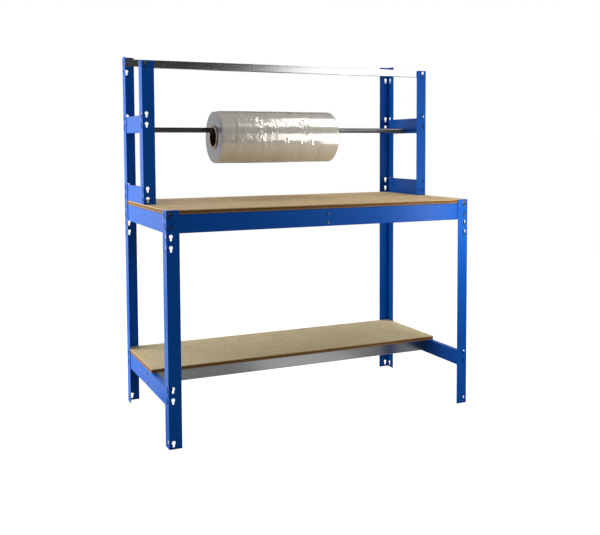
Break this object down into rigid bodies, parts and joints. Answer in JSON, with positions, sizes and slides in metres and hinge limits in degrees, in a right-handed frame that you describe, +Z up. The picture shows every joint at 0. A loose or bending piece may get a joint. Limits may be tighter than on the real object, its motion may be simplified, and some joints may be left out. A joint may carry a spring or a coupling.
{
  "type": "packing bench with film roll holder",
  "caption": "Angle-steel packing bench with board worktop, half-depth shelf and an upper frame that carries a film roll on a lift-out rod.",
  "frame": {"origin": "on the floor, at the middle of the footprint", "axes": "+Z up, -Y towards the person at the bench, +X to that person's right as they face the bench"},
  "size_m": [1.2246, 0.6146, 1.38],
  "materials": {
    "powder_coat": "semi-gloss blue powder coat with a faint orange peel",
    "zinc_plate": "hot-dip galvanised sheet, soft sheen with a faint spangle",
    "screw": "bright zinc-plated pan head",
    "board": "raw wood-particle board, matt, with darker sawn edges",
    "rod": "dark oiled drawn steel",
    "core": "spiral-wound board tube, matt",
    "film": "clear stretch film in many layers, glossy with fine wrinkles"
  },
  "bodies": {
    "frame": {"front_left_leg": "powder_coat", "front_right_leg": "powder_coat", "back_left_post": "powder_coat", "back_right_post": "powder_coat", "upper_left_post": "powder_coat", "upper_right_post": "powder_coat", "table_front_beam": "powder_coat", "table_back_beam": "powder_coat", "table_left_beam": "powder_coat", "table_right_beam": "powder_coat", "shelf_back_beam": "powder_coat", "shelf_left_beam": "powder_coat", "shelf_right_beam": "powder_coat", "upper_left_low_brace": "powder_coat", "upper_right_low_brace": "powder_coat", "upper_left_rod_brace": "powder_coat", "upper_right_rod_brace": "powder_coat", "table_centre_support": "zinc_plate", "shelf_cross_member": "zinc_plate", "top_front_rail": "zinc_plate", "top_back_rail": "zinc_plate", "support_screw_front_lower": "screw", "support_screw_front_upper": "screw", "support_screw_back_lower": "screw", "support_screw_back_upper": "screw", "shelf_screw_left_lower": "screw", "shelf_screw_left_upper": "screw", "shelf_screw_right_lower": "screw", "shelf_screw_right_upper": "screw", "table_board": "board", "shelf_board": "board"},
    "rod": {"roll_rod": "rod"},
    "film": {"film_core": "core", "film_roll": "film"}
  },
  "joints": [
    {"name": "rod_lift", "type": "slide", "parent": "frame", "child": "rod", "axis": [0, 0, 1], "range_m": [0, 0.32]},
    {"name": "roll_spin", "type": "hinge", "parent": "rod", "child": "film", "pos_m": [0, 0.15, 1.0636], "axis": [1, 0, 0], "continuous": true}
  ]
}
